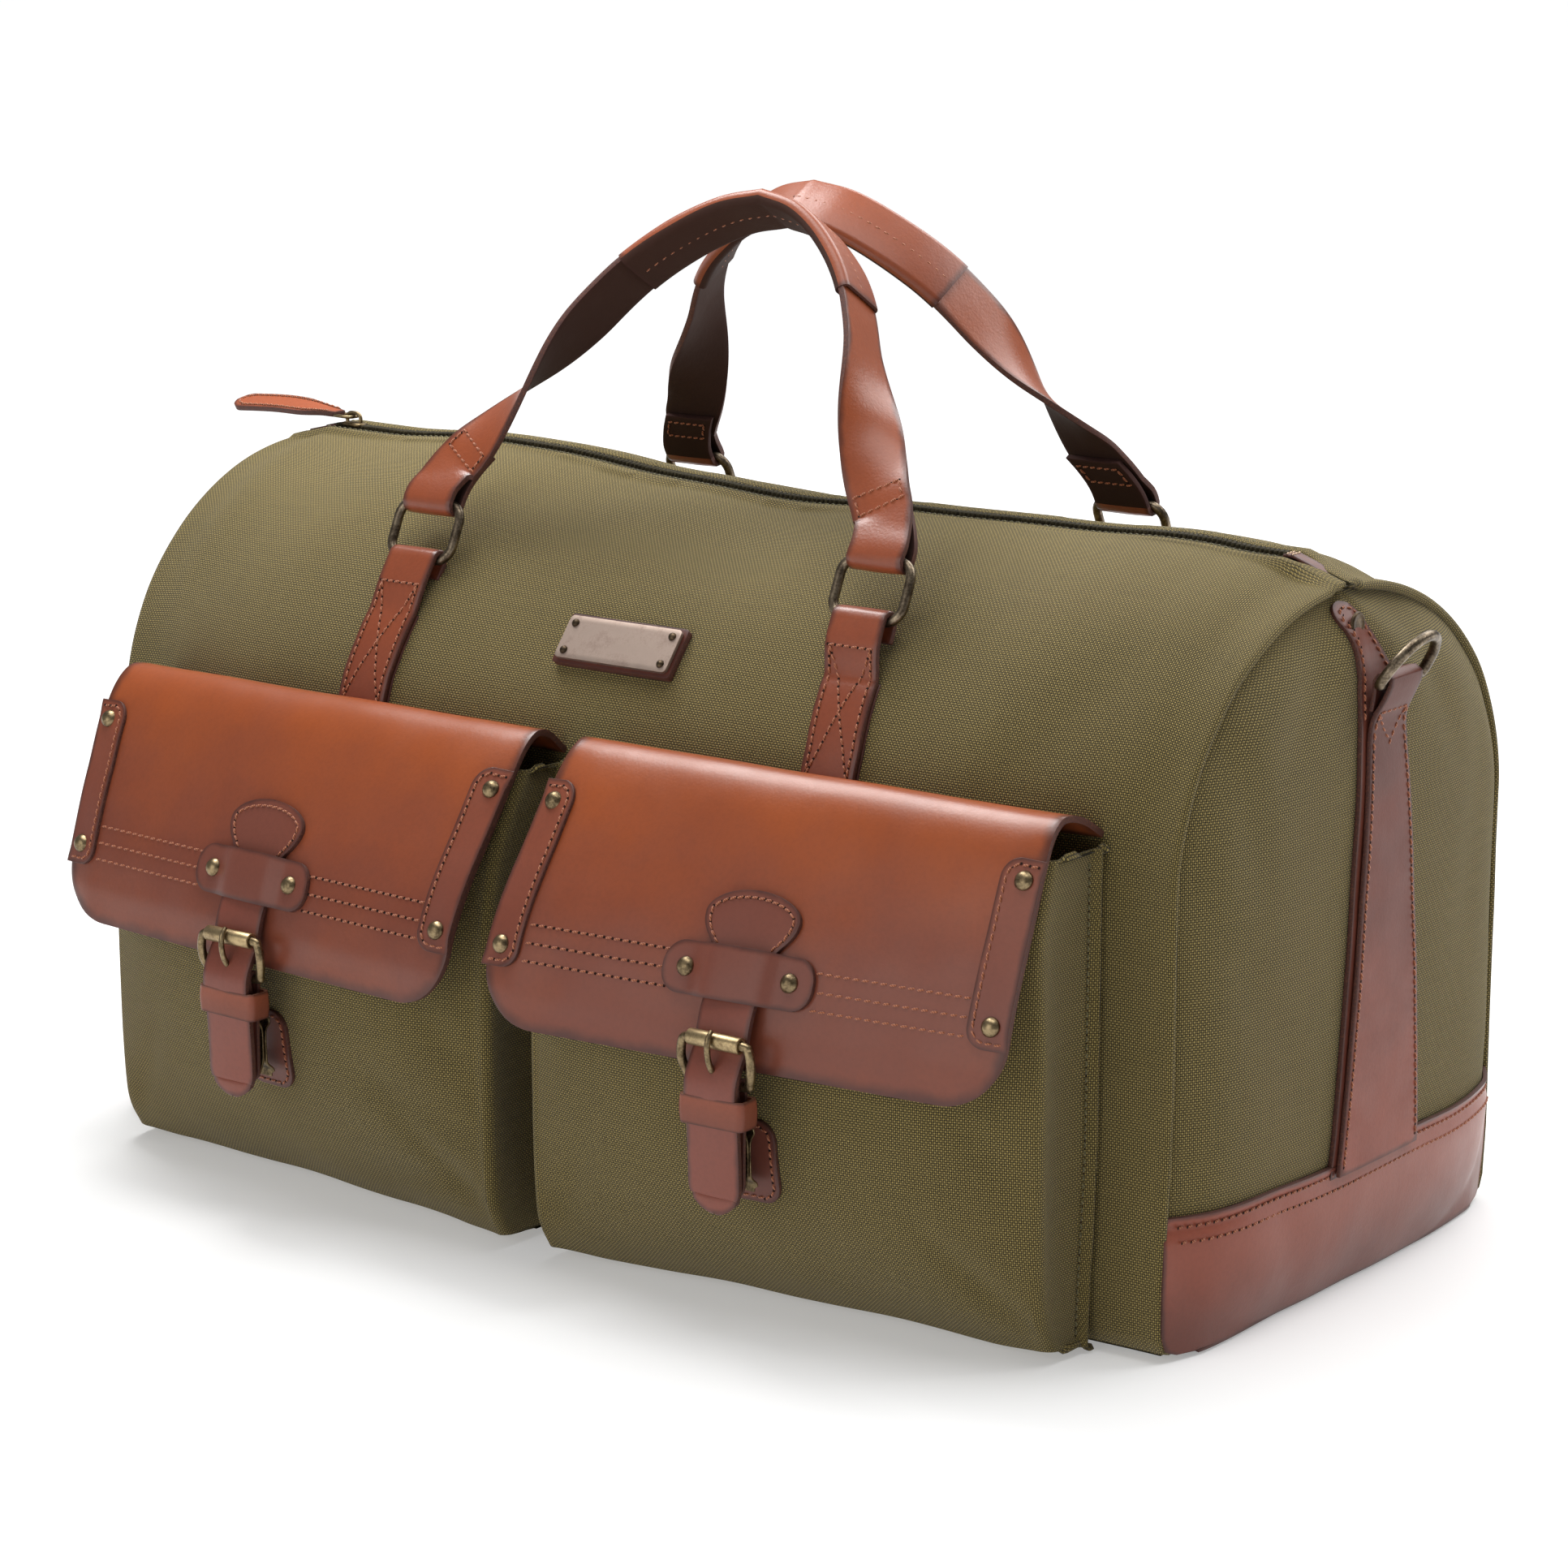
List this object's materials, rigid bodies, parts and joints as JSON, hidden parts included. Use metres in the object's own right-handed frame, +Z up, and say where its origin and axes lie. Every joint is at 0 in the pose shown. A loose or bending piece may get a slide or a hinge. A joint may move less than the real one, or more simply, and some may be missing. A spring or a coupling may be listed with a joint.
{
  "type": "duffel bag",
  "caption": "Canvas weekender duffel bag with leather trim, zipped top, buckled front pockets, two ring-mounted carrying handles and end D-rings.",
  "frame": {"origin": "centre of the flat bottom of the main compartment, on the surface that the bag stands on", "axes": "+X to the bag's right end as seen from its pocketed front, -Y to the front, +Z up"},
  "size_m": [0.675, 0.3712, 0.4511],
  "materials": {
    "canvas": "coarse olive cotton canvas",
    "zip_tape": "olive woven tape with moulded teeth",
    "tan_leather": "smooth tan leather with a soft sheen",
    "red_leather": "smooth reddish brown leather",
    "dark_leather": "smooth dark brown leather",
    "brass": "antique brass",
    "plate_brass": "antique copper-toned brass",
    "board": "stiff fibreboard"
  },
  "bodies": {
    "root": {"front_panel": "canvas", "rear_panel": "canvas", "bottom_panel": "canvas", "base_board": "board", "front_zip_tape": "zip_tape", "rear_zip_tape": "zip_tape", "zip_end_tab": "tan_leather", "blank_plate": "plate_brass", "left_end_panel": "canvas", "left_end_base": "red_leather", "left_end_backing": "dark_leather", "left_end_strap": "red_leather", "left_pocket": "canvas", "left_flap_root": "tan_leather", "left_clip_patch": "red_leather", "left_clip_base": "brass", "right_end_panel": "canvas", "right_end_base": "red_leather", "right_end_backing": "dark_leather", "right_end_strap": "red_leather", "right_pocket": "canvas", "right_flap_root": "tan_leather", "right_clip_patch": "red_leather", "right_clip_base": "brass", "front_left_anchor": "red_leather", "front_right_anchor": "red_leather", "rear_left_anchor": "red_leather", "rear_right_anchor": "red_leather"},
    "left_flap": {"left_flap": "tan_leather", "left_flap_left_strip": "red_leather", "left_flap_right_strip": "red_leather", "left_keeper_bar": "dark_leather"},
    "left_strap": {"left_buckle_strap": "dark_leather", "left_buckle_frame": "brass", "left_buckle_tab": "dark_leather", "left_keeper_loop": "tan_leather"},
    "left_roller": {"left_buckle_roller": "brass"},
    "left_prong": {"left_buckle_prong": "brass"},
    "right_flap": {"right_flap": "tan_leather", "right_flap_left_strip": "red_leather", "right_flap_right_strip": "red_leather", "right_keeper_bar": "dark_leather"},
    "right_strap": {"right_buckle_strap": "dark_leather", "right_buckle_frame": "brass", "right_buckle_tab": "dark_leather", "right_keeper_loop": "tan_leather"},
    "right_roller": {"right_buckle_roller": "brass"},
    "right_prong": {"right_buckle_prong": "brass"},
    "front_rings": {"front_left_ring": "brass", "front_right_ring": "brass"},
    "front_handle": {"front_handle_strap": "red_leather", "front_handle_grip": "tan_leather"},
    "rear_rings": {"rear_left_ring": "brass", "rear_right_ring": "brass"},
    "rear_handle": {"rear_handle_strap": "red_leather", "rear_handle_grip": "tan_leather"},
    "left_d_ring": {"left_d_ring": "brass"},
    "right_d_ring": {"right_d_ring": "brass"},
    "zip_slider": {"zip_slider": "brass"},
    "zip_puller": {"zip_puller": "tan_leather"}
  },
  "joints": [
    {"name": "left_flap_hinge", "type": "hinge", "parent": "root", "child": "left_flap", "pos_m": [-0.136, -0.158, 0.2255], "axis": [-1, 0, 0], "range_deg": [0, 130]},
    {"name": "left_strap_swing", "type": "hinge", "parent": "left_flap", "child": "left_strap", "pos_m": [-0.136, -0.2134, 0.146], "axis": [-1, 0, 0], "range_deg": [0, 60]},
    {"name": "left_roller_spin", "type": "hinge", "parent": "left_strap", "child": "left_roller", "pos_m": [-0.136, -0.2232, 0.129], "axis": [1, 0, 0], "continuous": true},
    {"name": "left_prong_lift", "type": "hinge", "parent": "left_strap", "child": "left_prong", "pos_m": [-0.136, -0.2204, 0.111], "axis": [1, 0, 0], "range_deg": [0, 25]},
    {"name": "right_flap_hinge", "type": "hinge", "parent": "root", "child": "right_flap", "pos_m": [0.136, -0.158, 0.2255], "axis": [-1, 0, 0], "range_deg": [0, 130]},
    {"name": "right_strap_swing", "type": "hinge", "parent": "right_flap", "child": "right_strap", "pos_m": [0.136, -0.2134, 0.146], "axis": [-1, 0, 0], "range_deg": [0, 60]},
    {"name": "right_roller_spin", "type": "hinge", "parent": "right_strap", "child": "right_roller", "pos_m": [0.136, -0.2232, 0.129], "axis": [1, 0, 0], "continuous": true},
    {"name": "right_prong_lift", "type": "hinge", "parent": "right_strap", "child": "right_prong", "pos_m": [0.136, -0.2204, 0.111], "axis": [1, 0, 0], "range_deg": [0, 25]},
    {"name": "front_ring_swing", "type": "hinge", "parent": "root", "child": "front_rings", "pos_m": [0, -0.107, 0.2835], "axis": [-1, 0, 0], "range_deg": [-30, 0]},
    {"name": "front_handle_swing", "type": "hinge", "parent": "front_rings", "child": "front_handle", "pos_m": [0, -0.096, 0.3075], "axis": [-1, 0, 0], "range_deg": [-130, 0]},
    {"name": "rear_ring_swing", "type": "hinge", "parent": "root", "child": "rear_rings", "pos_m": [0, 0.107, 0.2835], "axis": [1, 0, 0], "range_deg": [-30, 0]},
    {"name": "rear_handle_swing", "type": "hinge", "parent": "rear_rings", "child": "rear_handle", "pos_m": [0, 0.096, 0.3075], "axis": [1, 0, 0], "range_deg": [-130, 0]},
    {"name": "left_d_ring_swing", "type": "hinge", "parent": "root", "child": "left_d_ring", "pos_m": [-0.31921, 0.007, 0.264], "axis": [0, 1, 0], "range_deg": [-115, 30]},
    {"name": "right_d_ring_swing", "type": "hinge", "parent": "root", "child": "right_d_ring", "pos_m": [0.31832, 0.007, 0.264], "axis": [0, -1, 0], "range_deg": [-115, 30]},
    {"name": "zip_slide", "type": "slide", "parent": "root", "child": "zip_slider", "axis": [0.9999, 0, -0.0167], "range_m": [0, 0.515]},
    {"name": "puller_lift", "type": "hinge", "parent": "zip_slider", "child": "zip_puller", "pos_m": [-0.262, 0, 0.32472], "axis": [0, 1, 0], "range_deg": [0, 150]}
  ]
}
